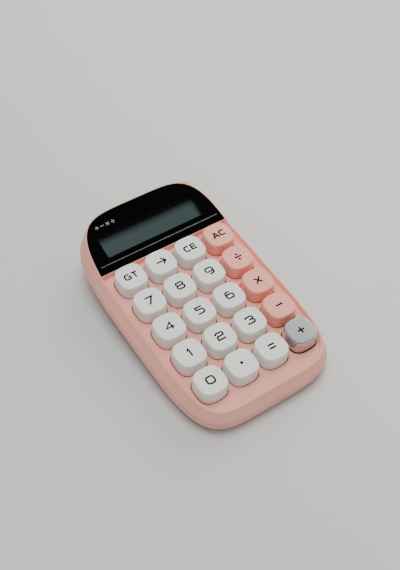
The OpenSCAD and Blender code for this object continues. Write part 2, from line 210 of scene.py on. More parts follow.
def fair(profile, steps):
    """Extra points between those of a profile, on a Catmull-Rom curve through them."""
    p = np.array([profile[0], *profile, profile[-1]], float)
    made = []
    for i in range(1, len(p) - 2):
        for k in range(steps):
            t = k / steps
            a, b, c, d = p[i - 1], p[i], p[i + 1], p[i + 2]
            made.append(0.5 * (2 * b + (c - a) * t + (2 * a - 5 * b + 4 * c - d) * t * t
                               + (3 * b - a - 3 * c + d) * t ** 3))
    made.append(p[-1])
    return [tuple(q) for q in made]


# ---- Meshes ----

def new_object(name, vertices, faces, matrix=DECK, angle=35):
    mesh = bpy.data.meshes.new(name)
    mesh.from_pydata([matrix @ Vector(v) for v in vertices], [], faces)
    return finish_mesh(name, mesh, angle)


def finish_mesh(name, mesh, angle=35):
    mesh.update()
    o = bpy.data.objects.new(name, mesh)
    bpy.context.scene.collection.objects.link(o)
    shade(o, angle)
    return o


def shade(o, angle=35):
    o.data.shade_smooth()
    o.data.set_sharp_from_angle(angle=math.radians(angle))


def loft(name, rings, matrix=DECK, angle=35):
    """A closed solid through rings of equal length, with flat ends."""
    n = len(rings[0])
    vertices = [p for ring in rings for p in ring]
    faces = [[j * n + i, j * n + (i + 1) % n, (j + 1) * n + (i + 1) % n, (j + 1) * n + i]
             for j in range(len(rings) - 1) for i in range(n)]
    faces += end_faces(rings[0], 0)[::-1]
    faces += [face[::-1] for face in end_faces(rings[-1], (len(rings) - 1) * n)]
    return new_object(name, vertices, faces, matrix, angle)


def end_faces(ring, start):
    """Faces that close a ring, facing down: one if it is flat, else strips across it."""
    n = len(ring)
    heights = [p[2] for p in ring]
    if max(heights) - min(heights) < 1e-6:
        return [[start + i for i in range(n)][::-1]]
    return [[start + k for k in (i, n - 1 - i, n - 2 - i, i + 1)] for i in range(n // 2 - 1)]


def prism(name, points, z0, z1, matrix=DECK):
    return loft(name, [[(x, y, z) for x, y in points] for z in (z0, z1)], matrix)


def rounded_rectangle(w, h, r, corner=6, centre=(0, 0)):
    points = []
    for k, (sx, sy) in enumerate(((1, 1), (-1, 1), (-1, -1), (1, -1))):
        for i in range(corner + 1):
            a = math.pi / 2 * (k + i / corner)
            points.append((centre[0] + sx * (w / 2 - r) + r * math.cos(a),
                           centre[1] + sy * (h / 2 - r) + r * math.sin(a)))
    return points


def circle_points(d, n=32, centre=(0, 0)):
    return [(centre[0] + d / 2 * math.cos(2 * math.pi * i / n),
             centre[1] + d / 2 * math.sin(2 * math.pi * i / n)) for i in range(n)]


def block(name, x, y, z, matrix=DECK):
    """A box cutter or rib; x, y and z are (low, high) pairs."""
    points = [(x[0], y[0]), (x[1], y[0]), (x[1], y[1]), (x[0], y[1])]
    return prism(name, points, z[0], z[1], matrix)


def boolean(target, tools, operation="DIFFERENCE"):
    """Cuts or joins tools into target, and removes the tools."""
    if not tools:
        return target
    group = bpy.data.collections.new("cutters")
    bpy.context.scene.collection.children.link(group)
    for tool in tools:
        group.objects.link(tool)
        bpy.context.scene.collection.objects.unlink(tool)
    modifier = target.modifiers.new("cut", "BOOLEAN")
    modifier.operation = operation
    modifier.operand_type = "COLLECTION"
    modifier.collection = group
    modifier.solver = "EXACT"
    apply_modifiers(target)
    for tool in tools:
        bpy.data.meshes.remove(tool.data)
    bpy.data.collections.remove(group)
    return target


def apply_modifiers(o):
    depsgraph = bpy.context.evaluated_depsgraph_get()
    mesh = bpy.data.meshes.new_from_object(o.evaluated_get(depsgraph))
    old = o.data
    o.modifiers.clear()
    o.data = mesh
    mesh.name = o.name
    bpy.data.meshes.remove(old)


def tidy_mesh(o, angle=35, join=0.00001):
    """Merges doubles left by the cuts, and sets the shading again."""
    bm = bmesh.new()
    bm.from_mesh(o.data)
    bmesh.ops.remove_doubles(bm, verts=bm.verts, dist=join)
    bmesh.ops.dissolve_degenerate(bm, dist=join / 2, edges=bm.edges)
    bmesh.ops.recalc_face_normals(bm, faces=bm.faces)
    bm.to_mesh(o.data)
    bm.free()
    shade(o, angle)
    weights = o.modifiers.new("even_normals", "WEIGHTED_NORMAL")
    weights.keep_sharp = True
    return o


# ---- Materials ----

def srgb(r, g, b):
    """Linear colour from 8-bit screen values."""
    def linear(v):
        v /= 255
        return v / 12.92 if v <= 0.04045 else ((v + 0.055) / 1.055) ** 2.4
    return (linear(r), linear(g), linear(b), 1)


class Shader:
    """A Principled material with a few helpers for procedural detail."""

    def __init__(self, name, base, roughness, metallic=0.0, specular=0.5):
        self.material = bpy.data.materials.new(name)
        self.material.use_nodes = True
        self.nodes = self.material.node_tree.nodes
        self.links = self.material.node_tree.links
        self.main = self.nodes["Principled BSDF"]
        self.coordinates = self.nodes.new("ShaderNodeTexCoord")
        self.set("Base Color", base)
        self.set("Roughness", roughness)
        self.set("Metallic", metallic)
        self.set("Specular IOR Level", specular)
        self.base = base
        self.bump_input = None

    def set(self, name, value):
        self.main.inputs[name].default_value = value

    def noise(self, per_mm, detail=2.0, stretch=(1, 1, 1)):
        """Noise with a given number of features a millimetre."""
        mapping = self.nodes.new("ShaderNodeMapping")
        mapping.inputs["Scale"].default_value = stretch
        texture = self.nodes.new("ShaderNodeTexNoise")
        texture.inputs["Scale"].default_value = per_mm * 1000
        texture.inputs["Detail"].default_value = detail
        self.links.new(self.coordinates.outputs["Object"], mapping.inputs["Vector"])
        self.links.new(mapping.outputs["Vector"], texture.inputs["Vector"])
        return texture.outputs["Fac"]

    def ranged(self, value, low, high, source_low=0.3, source_high=0.7):
        node = self.nodes.new("ShaderNodeMapRange")
        for name, v in (("From Min", source_low), ("From Max", source_high),
                        ("To Min", low), ("To Max", high)):
            node.inputs[name].default_value = v
        self.links.new(value, node.inputs["Value"])
        return node.outputs["Result"]

    def vary_colour(self, value, other, amount):
        """Mixes a second colour into the base where value is high."""
        mix = self.nodes.new("ShaderNodeMix")
        mix.data_type = "RGBA"
        mix.inputs[6].default_value = self.base
        mix.inputs[7].default_value = other
        self.links.new(self.ranged(value, 0, amount), mix.inputs[0])
        self.links.new(mix.outputs[2], self.main.inputs["Base Color"])

    def vary_roughness(self, value, low, high):
        self.links.new(self.ranged(value, low, high), self.main.inputs["Roughness"])

    def bump(self, value, height_mm, strength=1.0):
        node = self.nodes.new("ShaderNodeBump")
        node.inputs["Strength"].default_value = strength
        node.inputs["Distance"].default_value = height_mm * MM
        self.links.new(value, node.inputs["Height"])
        if self.bump_input:
            self.links.new(self.bump_input, node.inputs["Normal"])
        self.bump_input = node.outputs["Normal"]
        self.links.new(self.bump_input, self.main.inputs["Normal"])


def moulded(name, base, other, roughness, grain=0.006):
    """Moulded plastic: a fine spark-eroded grain and a faint mottling."""
    s = Shader(name, base, roughness, specular=0.4)
    s.vary_colour(s.noise(0.035, 3), other, 0.5)
    s.vary_roughness(s.noise(0.12, 4), roughness - 0.04, roughness + 0.05)
    s.bump(s.noise(3.2, 3), grain)
    s.bump(s.noise(0.06, 2), 0.02)
    return s.material


def metal(name, base, roughness, stretch=(1, 1, 1), grain=0.003):
    """Bare metal with fine drawn or rolled lines."""
    s = Shader(name, base, roughness, metallic=1.0)
    s.vary_roughness(s.noise(0.8, 4, stretch), roughness - 0.05, roughness + 0.08)
    s.bump(s.noise(2.5, 3, stretch), grain)
    return s.material


PINK = srgb(248, 176, 160)
PINK_DEEP = srgb(245, 168, 151)
CASE = moulded("case_pink", PINK, PINK_DEEP, 0.5)
CAP_PINK = moulded("key_pink", srgb(248, 173, 154), srgb(245, 167, 147), 0.42, 0.004)
CAP_WHITE = moulded("key_white", srgb(236, 236, 231), srgb(231, 230, 224), 0.42, 0.004)
HOLDER = moulded("holder_grey", srgb(44, 46, 49), srgb(38, 40, 42), 0.6)
SWITCH_BLACK = moulded("switch_black", srgb(36, 38, 42), srgb(30, 31, 34), 0.45)
SWITCH_CLEAR = moulded("switch_clear", srgb(214, 216, 217), srgb(205, 207, 208), 0.3)
SLIDER = moulded("slider_brown", srgb(122, 74, 50), srgb(112, 66, 44), 0.4)
CHIP = moulded("chip_black", srgb(24, 24, 26), srgb(34, 34, 36), 0.55, 0.01)
RUBBER = moulded("foot_rubber", srgb(52, 52, 54), srgb(44, 44, 46), 0.85, 0.02)
WIRE = moulded("wire_red", srgb(160, 34, 30), srgb(150, 30, 26), 0.5)
PLATE = metal("plate_steel", (0.08, 0.085, 0.09, 1), 0.42, (0.06, 1, 1))
STEEL = metal("spring_steel", (0.62, 0.62, 0.61, 1), 0.25, (1, 1, 1))
SCREW = metal("screw_steel", (0.60, 0.61, 0.63, 1), 0.3)
CONTACT = metal("contact_metal", (0.72, 0.66, 0.48, 1), 0.25)
TRIM = metal("trim_steel", (0.36, 0.36, 0.35, 1), 0.45, (0.03, 1, 1), 0.002)


def make_lens_material():
    """Polished black acrylic with a trace of dust film."""
    s = Shader("lens_black", (0.0006, 0.0008, 0.0008, 1), 0.04, specular=0.5)
    s.vary_roughness(s.noise(0.15, 5), 0.03, 0.07)
    s.bump(s.noise(0.02, 1), 0.01)
    return s.material


def make_window_material():
    """The clear part of the panel: it lets light through and mirrors a little of it."""
    material = bpy.data.materials.new("lens_clear")
    material.use_nodes = True
    nodes, links = material.node_tree.nodes, material.node_tree.links
    nodes.clear()
    fresnel = nodes.new("ShaderNodeFresnel")
    fresnel.inputs["IOR"].default_value = 1.45
    clear = nodes.new("ShaderNodeBsdfTransparent")
    clear.inputs["Color"].default_value = (0.84, 0.87, 0.87, 1)
    mirror = nodes.new("ShaderNodeBsdfGlossy")
    mirror.inputs["Roughness"].default_value = 0.03
    mix = nodes.new("ShaderNodeMixShader")
    output = nodes.new("ShaderNodeOutputMaterial")
    links.new(fresnel.outputs["Fac"], mix.inputs[0])
    links.new(clear.outputs["BSDF"], mix.inputs[1])
    links.new(mirror.outputs["BSDF"], mix.inputs[2])
    links.new(mix.outputs["Shader"], output.inputs["Surface"])
    return material


def make_lcd_material():
    """The cell's front polariser: a dull grey-teal film, with painted shade by its rear and right
    edges, where the panel's edges shade it.
    """
    s = Shader("lcd_grey", srgb(115, 127, 129), 0.4, specular=0.3)
    s.vary_colour(s.noise(0.03, 2), srgb(108, 120, 123), 0.6)
    s.bump(s.noise(4, 2), 0.002)
    split = s.nodes.new("ShaderNodeSeparateXYZ")
    s.links.new(s.coordinates.outputs["Object"], split.inputs["Vector"])
    right = WINDOW_W / 2 * MM
    rear = (LENS @ Vector((0, WINDOW_V + WINDOW_H, -LENS_T))).y
    # Painted shade: the colour goes towards near black over 3 mm at the window's right edge and 4.5
    # mm at its rear edge, where the panel shades the cell.
    painted_shade_masks = [s.ranged(split.outputs[axis], 1, low, edge - width * MM, edge)
              for axis, edge, width, low in (("X", right, 3.0, 0.35), ("Y", rear, 4.5, 0.12))]
    painted_shade_mask = s.nodes.new("ShaderNodeMath")
    painted_shade_mask.operation = "MULTIPLY"
    for i, painted_shade_value in enumerate(painted_shade_masks):
        s.links.new(painted_shade_value, painted_shade_mask.inputs[i])
    # Mixes the near black of the painted shade into the film's own colour.
    mix = s.nodes.new("ShaderNodeMix")
    mix.data_type = "RGBA"
    mix.inputs[6].default_value = srgb(10, 12, 13)
    before = s.main.inputs["Base Color"].links[0].from_socket
    s.links.new(before, mix.inputs[7])
    s.links.new(painted_shade_mask.outputs["Value"], mix.inputs[0])
    s.links.new(mix.outputs[2], s.main.inputs["Base Color"])
    return s.material


def make_board_material():
    """Green solder mask with faint copper tracks under it."""
    s = Shader("board_green", srgb(26, 78, 50), 0.3, specular=0.5)
    wave = s.nodes.new("ShaderNodeTexWave")
    wave.inputs["Scale"].default_value = 160
    wave.inputs["Distortion"].default_value = 6
    wave.inputs["Detail"].default_value = 1
    s.links.new(s.coordinates.outputs["Object"], wave.inputs["Vector"])
    s.vary_colour(wave.outputs["Fac"], srgb(44, 104, 66), 0.8)
    s.bump(wave.outputs["Fac"], 0.02)
    return s.material


def make_film_material(name, base, other):
    s = Shader(name, base, 0.25, specular=0.5)
    s.vary_colour(s.noise(0.25, 2, (0.1, 1, 1)), other, 0.7)
    s.bump(s.noise(0.5, 2), 0.01)
    return s.material


def make_chrome_cap_material():
    """Plated key cap: a satin top, and polished edge and sides."""
    s = Shader("key_metal", (0.52, 0.54, 0.53, 1), 0.1, metallic=1.0)
    geometry = s.nodes.new("ShaderNodeSeparateXYZ")
    s.links.new(s.coordinates.outputs["Normal"], geometry.inputs["Vector"])
    satin = s.ranged(geometry.outputs["Z"], 0.12, 0.4, 0.25, 0.85)
    grain = s.ranged(s.noise(1.2, 4, (1, 0.15, 1)), -0.03, 0.05)
    add = s.nodes.new("ShaderNodeMath")
    add.operation = "ADD"
    s.links.new(satin, add.inputs[0])
    s.links.new(grain, add.inputs[1])
    s.links.new(add.outputs["Value"], s.main.inputs["Roughness"])
    s.bump(s.noise(2.5, 3), 0.002)
    return s.material


def make_ink_material():
    s = Shader("legend_black", srgb(8, 8, 9), 0.6, specular=0.1)
    s.vary_colour(s.noise(1.5, 2), srgb(18, 18, 19), 0.6)
    return s.material


def make_mark_material():
    s = Shader("mark_grey", srgb(176, 178, 178), 0.45, specular=0.3)
    s.vary_colour(s.noise(1.0, 2), srgb(160, 162, 163), 0.6)
    return s.material


LENS_BLACK = make_lens_material()
LENS_CLEAR = make_window_material()
LCD = make_lcd_material()
BOARD = make_board_material()
RIBBON = make_film_material("ribbon_amber", srgb(184, 120, 44), srgb(150, 88, 28))
CELL = make_film_material("cell_wrap", srgb(46, 112, 118), srgb(36, 92, 100))
CHROME = make_chrome_cap_material()
INK = make_ink_material()
MARK = make_mark_material()


def place(o, body, material, slot, *nodes):
    """Gives a piece its material and body, and hides the CAD nodes it stands for."""
    o.data.materials.clear()
    o.data.materials.append(material)
    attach(o, body)
    if nodes:
        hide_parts(*nodes)
    return o


# ---- Case ----

RING_N = 288


def hole_cutter(k, col, row):
    """A key's hole, with its upper edge rounded over."""
    x0, y0 = (col - 1.5) * PITCH, (row - 2) * PITCH
    r = 0.16
    rings = []
    for z, grow in ((-5, 0), (-r, 0), (-r * 0.5, r * 0.13), (-r * 0.13, r * 0.5), (0, r),
                    (0.4, r)):
        ring = squircle(HOLE_W + 2 * grow, CAP_E, 64)
        rings.append([(x0 + x, y0 + y, z) for x, y in ring])
    return loft(f"cut_{k}", rings)


def lens_outline(gap, n=RING_N):
    """The lens shape as [x, v] along the lens, with a straight front edge at v = -gap."""
    points = [(x, (y - HOOD_Y) / math.cos(HOOD_TILT)) for x, y in outline(LENS_INSET - gap, 1, n)]
    rear = [p for p in points if p[1] > 0.05]
    right = sorted((p for p in rear if p[0] >= 0), key=lambda p: p[1])
    left = sorted((p for p in rear if p[0] < 0), key=lambda p: -p[1])
    return [(left[-1][0], -gap), (right[0][0], -gap), *right, *left]


def rods(name, places, d, z0, z1, matrix=DECK, n=32):
    return [prism(f"{name}_{i}", circle_points(d, n, p), z0, z1, matrix)
            for i, p in enumerate(places)]


def make_top_case():
    n = RING_N
    outer = fair([(0, -7.5), (0.3, -5), (1.45, -2.5), (2.6, 0), (3.3, 1.6)], 5)
    outer += [(3.45, 1.92), (3.6, 2.17), (3.76, 2.34), (3.94, 2.46), (4.12, 2.5)]
    shell = loft("top_case_shell", [wall_ring(i, z, n) for i, z in outer])
    eye = prism("eye", circle_points(10.6, 48, (33.2, 80.9)), 0.8, 4.4)
    boolean(shell, [eye], "UNION")

    hollow = loft("hollow", [cavity_ring(i, z, n) for i, z in
                             ((WALL, PARTING_Z - 1), (WALL, PARTING_Z), (WALL + 0.35, -5),
                              (WALL + 1.9, -2.6), (WALL + 2.5, -DECK_T))])
    well_profile = ((5.9, 0.0), (5.72, 0.02), (5.5, 0.12), (5.3, 0.3), (5.1, 0.62),
                    (4.95, 1.05), (4.8, 1.5), (4.62, 1.95), (4.48, 2.24), (4.36, 2.42),
                    (4.22, 2.51), (4.15, 3.2), (4.15, 20))
    well = loft("well", [level_ring(i, z, n, 1) for i, z in well_profile])
    boolean(well, [block("behind", (-60, 60), (HOOD_Y - 0.4, 120), (-5, 40))])
    boolean(shell, [hollow])
    bosses = rods("boss", CASE_SCREWS, 5.6, PARTING_Z - 2, 20)
    bosses += rods("plate_boss", PLATE_SCREWS, 4.2, -4.95, -DECK_T + 0.1)
    bosses = boolean(bosses[0], bosses[1:], "UNION")
    ceiling = loft("ceiling", [cavity_ring(i, z, n) for i, z in
                               ((3.75, -11.5), (3.75, -5.6), (2.05, -5), (3.6, -2.6),
                                (4.2, -1.8))])
    boolean(bosses, [ceiling], "INTERSECT")
    boolean(bosses, rods("pilot", CASE_SCREWS, 1.7, -20, PARTING_Z + 6)
            + rods("plate_pilot", PLATE_SCREWS, 1.2, -6, -1.2))
    cutters = [well]
    cutters += [hole_cutter(name, col, row) for name, col, row in KEYS]
    cutters.append(loft("recess", [[(x, v, w) for x, v in lens_outline(gap)] for gap, w in
                                   ((0.1, -LENS_T - 0.05), (0.1, -0.12), (0.2, 0.02), (0.2, 12))],
                        LENS))
    cutters.append(block("lcd_hole", (-WINDOW_W / 2 - GAP, WINDOW_W / 2 + GAP),
                         (WINDOW_V - GAP, WINDOW_V + WINDOW_H + GAP), (-8, 1), LENS))
    cutters.append(prism("strap_hole", circle_points(2, 32, (35, 82.9)), -1, 8))
    boolean(shell, cutters)
    boolean(shell, [bosses], "UNION")
    tidy_mesh(shell, 32)
    return shell


top_case = make_top_case()
place(top_case, "case", CASE, "case_pink", "top_case")


def table_ring(half_x, y0, y1, r, z, inset=0):
    """A rounded rectangle in the table frame, at height z."""
    points = rounded_rectangle(2 * (half_x - inset), y1 - y0 - 2 * inset, r - inset, 8,
                               (0, (y0 + y1) / 2))
    return [(x, y, z) for x, y in points]


def foot_recess(name, x, y, d):
    """A hole for a front foot, whose floor is 0.6 mm inside the sloping underside."""
    deck_lift = DECK.translation.z / MM
    slope = math.asin(DECK_UP.y) * -1
    floor_z = -BASE_DEPTH + 0.6

    def height(v):
        return math.tan(slope) * (v + floor_z * math.sin(slope)) + floor_z * math.cos(slope)
    ring = circle_points(d, 48, (x, y))
    return loft(name, [[(px, py, -1) for px, py in ring],
                       [(px, py, height(py) + deck_lift) for px, py in ring]], TABLE)


def make_bottom_case():
    n = RING_N
    wall_profile = fair([(1.25, -13.9), (0.8, -12.8), (0.35, -10.5), (0, PARTING_Z - 0.4)], 4)
    wall_profile.append((0.28, PARTING_Z - 0.05))
    profile = [(2.4, -14.6), (2.05, -14.56), (1.7, -14.4), (1.43, -14.16), *wall_profile]
    shell = loft("bottom_case_shell", [level_ring(i, z, n) for i, z in profile])
    hollow = loft("base_hollow", [level_ring(i, z, n) for i, z in
                                  ((3.6, -BASE_DEPTH + 1.8), (2.9, -12), (WALL + 0.35, -10),
                                   (WALL, PARTING_Z + 1))])
    boolean(shell, [hollow])
    lip = prism("lip", outline(WALL - 0.5, 0, n), PARTING_Z - 2, PARTING_Z - 0.1)
    boolean(lip, [prism("lip_upper", outline(WALL + 0.55, 0, n), PARTING_Z - 1,
                        PARTING_Z + 1.6)], "UNION")
    boolean(lip, [prism("lip_inner", outline(WALL + 1.45, 0, n), PARTING_Z - 3, PARTING_Z + 3)])
    bay = loft("bay", [table_ring(BAY_HALF_W, BAY_FRONT, BAY_REAR, 5, z, inset) for z, inset in
                       ((BAY_CLEAR, 0.5), (BAY_CLEAR + 0.15, 0.15), (BAY_CLEAR + 0.5, 0),
                        (BAY_TOP, 0))], TABLE)
    bosses = rods("boss", CASE_SCREWS, 6.4, -BASE_DEPTH + 1, PARTING_Z - 2.2)
    boolean(shell, [lip, bay, *bosses], "UNION")
    bay_y0 = CELL_Y - 11.15
    door_gap = BAY_CLEAR + DOOR_T
    rim_y = BAY_REAR - 1.8
    cutters = [
        block("bay_hollow", (-26.6, 26.6), (bay_y0, rim_y), (door_gap + 0.2, 13.7), TABLE),
        block("door_way", (-DOOR_HALF_W - 0.2, DOOR_HALF_W + 0.2),
              (DOOR_FRONT - GAP, DOOR_FRONT + 40), (-1, door_gap + 0.3), TABLE),
        block("tongue_way", (-26.5, 26.5), (DOOR_FRONT - GAP, DOOR_FRONT + 40),
              (BAY_CLEAR + 0.6, BAY_CLEAR + 1.9), TABLE),
        block("door_rim_way", (-DOOR_HALF_W - 0.2, DOOR_HALF_W + 0.2), (rim_y, rim_y + 10),
              (-1, 7.6), TABLE),
    ]
    cutters += rods("wire_way", ((-25.2, CELL_Y), (25.2, CELL_Y)), 2.4, 10, 20, TABLE)
    cutters += rods("rear_foot_way", ((-29.8, 65.5), (29.8, 65.5)), 5.6, 0, BAY_CLEAR + 0.5,
                    TABLE)
    cutters += [foot_recess(f"front_foot_way_{s}", s * 30, -43, 8.2) for s in (-1, 1)]
    cutters += rods("screw_way", CASE_SCREWS, 2.4, -20, -5)
    cutters += rods("screw_sink", CASE_SCREWS, 4.6, -20, -BASE_DEPTH + 2.4)
    boolean(shell, cutters)
    tidy_mesh(shell, 32)
    return shell


bottom_case = make_bottom_case()
place(bottom_case, "case", CASE, "case_pink", "bottom_case")


# ---- Display panel ----

def window_points(grow, corner=8):
    return rounded_rectangle(WINDOW_W + 2 * grow, WINDOW_H + 2 * grow, 0.8 + grow, corner,
                             (0, WINDOW_V + WINDOW_H / 2))


def make_lens():
    """Black panel with a chamfered edge, a clear window and a groove for the bright line."""
    body = loft("display_panel", [[(x, v, w) for x, v in lens_outline(-inset)] for inset, w in
                                  ((0, -LENS_T), (0, -0.1), (0.03, -0.03), (0.1, 0))], LENS)
    hole = prism("hole", window_points(0), -LENS_T - 1, 1, LENS)
    groove = block("groove", (-TRIM_L / 2 - 0.05, TRIM_L / 2 + 0.05),
                   (TRIM_V - TRIM_W / 2 - 0.05, TRIM_V + TRIM_W / 2 + 0.05),
                   (-TRIM_T - 0.05, 1), LENS)
    boolean(body, [hole, groove])
    tidy_mesh(body, 25)
    return body


place(make_lens(), "case", LENS_BLACK, "lens_black", "display_lens")
pane = prism("display_window", window_points(-0.02), -LENS_T, -0.01, LENS)
place(pane, "case", LENS_CLEAR, "lens_clear")
gasket = prism("window_gasket", window_points(0.25), -LENS_T - LEDGE_T, -LENS_T - 0.02, LENS)
boolean(gasket, [prism("gasket_hole", window_points(0), -LENS_T - LEDGE_T - 1, 0, LENS)])
tidy_mesh(gasket, 30)
place(gasket, "case", HOLDER, "holder_grey")
pane.data.materials.append(LENS_BLACK)
for face in pane.data.polygons:
    face.material_index = int(abs(face.normal.dot(LENS.to_3x3().col[2].normalized())) < 0.5)


# ---- Key caps and their legends ----

def key_centre(col, row):
    return (col - 1.5) * PITCH, (row - 2) * PITCH


def make_cap_template():
    """One key cap in its own frame, in mm: crowned sides, thin walls and a cross socket."""
    side = fair([(16.5, -0.5), (16.4, 2), (16.18, 5), (16.05, 6.7)], 3)
    edge = [(16.02, 7.1), (15.96, 7.42), (15.83, 7.68), (15.62, 7.88), (15.34, 8.03),
            (15.02, 8.12), (14.7, 8.15), (14.2, 8.15)]
    skirt = [(14.0, CAP_H - CAP_ROOF - 0.45), (14.0, -0.6), (14.2, SKIRT_Z), (16.2, SKIRT_Z),
             (16.42, -0.7)]
    rings = [[(x, y, z) for x, y in squircle(w, CAP_E, 96)]
             for w, z in [(13.5, CAP_H - CAP_ROOF), *skirt, *side, *edge]]
    cap = loft("cap_template", rings, Matrix())
    socket = prism("socket", circle_points(5.6, 40), SOCKET_Z, CAP_H - CAP_ROOF + 0.3, Matrix())
    boolean(cap, [socket], "UNION")
    slots = [block("slot_a", (-2.05, 2.05), (-0.65, 0.65), (SOCKET_Z - 1, CROSS_TOP), Matrix()),
             block("slot_b", (-0.65, 0.65), (-2.05, 2.05), (SOCKET_Z - 1, CROSS_TOP), Matrix())]
    boolean(cap, [boolean(slots[0], slots[1:], "UNION")])
    return cap


def make_caps():
    template = make_cap_template()
    for name, col, row in KEYS:
        x, y = key_centre(col, row)
        mesh = template.data.copy()
        mesh.transform(DECK @ Matrix.Translation((x, y, 0)))
        cap = finish_mesh(f"cap_{name}", mesh)
        tidy_mesh(cap, 32, 0.000001)
        if name == "plus":
            finish = (CHROME, "key_metal")
        elif name in PINK_KEYS:
            finish = (CAP_PINK, "key_pink")
        else:
            finish = (CAP_WHITE, "key_white")
        place(cap, f"key_{name}", *finish, f"keycap_{name}")
    bpy.data.objects.remove(template)


make_caps()


def soften_corners(points, r, closed=False, steps=6):
    """A path with each corner replaced by an arc that starts r before it."""
    count = len(points)
    made = [] if closed else [points[0]]
    for i in range(count) if closed else range(1, count - 1):
        p, q, s = (np.array(points[k % count], float) for k in (i - 1, i, i + 1))
        before, after = p - q, s - q
        reach = min(r, np.linalg.norm(before) * 0.5, np.linalg.norm(after) * 0.5)
        if reach < 0.01:
            made.append(tuple(q))
            continue
        before /= np.linalg.norm(before)
        after /= np.linalg.norm(after)
        weight = math.sqrt(max(0.02, (1 - float(np.dot(before, after))) / 2))
        start, end = q + before * reach, q + after * reach
        for k in range(steps + 1):
            t = k / steps
            a, b, c = (1 - t) ** 2, 2 * t * (1 - t) * weight, t * t
            made.append(tuple((a * start + b * q + c * end) / (a + b + c)))
    return made if closed else made + [points[-1]]


def stroke(name, path, width, z0, z1, matrix, closed=False):
    """A thin solid line of even width along a path."""
    p = [np.array(q, float) for q in path]
    p = [q for i, q in enumerate(p) if i == 0 or np.linalg.norm(q - p[i - 1]) > 1e-4]
    if closed and np.linalg.norm(p[0] - p[-1]) < 1e-4:
        p.pop()
    n = len(p)
    left, right = [], []
    for i in range(n):
        if closed or 0 < i < n - 1:
            a, b, c = p[i - 1], p[i], p[(i + 1) % n]
            u, v = (b - a) / np.linalg.norm(b - a), (c - b) / np.linalg.norm(c - b)
        else:
            u = v = (p[1] - p[0]) if i == 0 else (p[-1] - p[-2])
            u = v = u / np.linalg.norm(u)
        normal = np.array((-(u + v)[1], (u + v)[0]))
        normal /= np.linalg.norm(normal)
        mitre = min(2.0, 1 / max(0.3, float(np.dot(normal, (-u[1], u[0])))))
        left.append(p[i] + normal * width / 2 * mitre)
        right.append(p[i] - normal * width / 2 * mitre)
    vertices = [(*q, z) for z in (z0, z1) for side in (left, right) for q in side]
    faces = []
    for i in range(n if closed else n - 1):
        j = (i + 1) % n
        faces += [(i, n + i, n + j, j),
                  (2 * n + i, 2 * n + j, 3 * n + j, 3 * n + i),
                  (i, j, 2 * n + j, 2 * n + i),
                  (n + j, n + i, 3 * n + i, 3 * n + j)]
    if not closed:
        faces += [(0, 2 * n, 3 * n, n), (n - 1, 2 * n - 1, 4 * n - 1, 3 * n - 1)]
    return new_object(name, vertices, faces, matrix)


def glyph(name, strokes, width, matrix, z0=8.0, z1=8.165, dots=()):
    """A printed sign made of strokes, each (path, closed), and round dots (x, y, d)."""
    parts = [stroke(f"{name}_{i}", path, width, z0, z1, matrix, closed)
             for i, (path, closed) in enumerate(strokes)]
    parts += [prism(f"{name}_dot_{i}", circle_points(d, 28, (x, y)), z0, z1, matrix)
              for i, (x, y, d) in enumerate(dots)]
    whole = parts[0]
    if len(parts) > 1:
        boolean(whole, parts[1:], "UNION")
    tidy_mesh(whole, 30, 0.000001)
    whole.name = name
    return whole


A = 2.1
B = 2.1
CAPITAL = 1.6
LEGEND_W = 0.96


def box_path(x0, x1, y0, y1, r):
    return soften_corners([(x0, y0), (x1, y0), (x1, y1), (x0, y1)], r, True), True


def line_path(*points, r=0.0):
    return soften_corners(list(points), r), False


def bowl_path(start, corners, end, r):
    """An open line that is sharp at its ends and rounded at its corners."""
    return soften_corners([start, *corners, end], r), False


def digit_strokes(name):
    """Wide rounded figures, drawn on a plain grid."""
    end = B + LEGEND_W / 2
    if name == "0":
        return [box_path(-A - 0.05, A + 0.05, -B + 0.1, B - 0.1, 1.35)]
    if name == "1":
        return [line_path((-1.0, B - 1.15), (0.3, B - 0.1), (0.3, -end))]
    if name == "2":
        return [bowl_path((-A, B - 1.1), ((-A, B), (A, B), (A, 0.1), (-A, 0.1)), (-A, -end), 1.0),
                line_path((-A, -B), (A + 0.2, -B))]
    if name == "3":
        return [bowl_path((-A + 0.1, B - 0.9), ((-A + 0.1, B), (A - 0.1, B), (A - 0.1, 0.1)),
                          (-0.6, 0.1), 1.0),
                bowl_path((-0.6, 0.1), ((A, 0.1), (A, -B), (-A, -B)), (-A, -B + 0.9), 1.0)]
    if name == "4":
        return [line_path((1.0, -end), (1.0, B - 0.15), (-A - 0.1, -1.0), (A + 0.25, -1.0))]
    if name == "5":
        return [line_path((A, B), (-A + 0.2, B), (-A + 0.2, 0.5)),
                bowl_path((-A + 0.2, 0.5), ((A, 0.5), (A, -B)), (-A, -B), 1.3)]
    if name == "6":
        return [bowl_path((0.9, B), ((-A, B), ), (-A, -0.6), 1.9),
                box_path(-A, A, -B, 0.5, 1.2)]
    if name == "7":
        return [line_path((-A - 0.05, B), (A - 0.05, B), (-1.1, -end))]
    if name == "8":
        return [box_path(-A + 0.15, A - 0.15, 0.15, B, 0.95), box_path(-A, A, -B, 0.15, 1.1)]
    return [bowl_path((-0.9, -B), ((A, -B), ), (A, 0.6), 1.9), box_path(-A, A, -0.5, B, 1.2)]


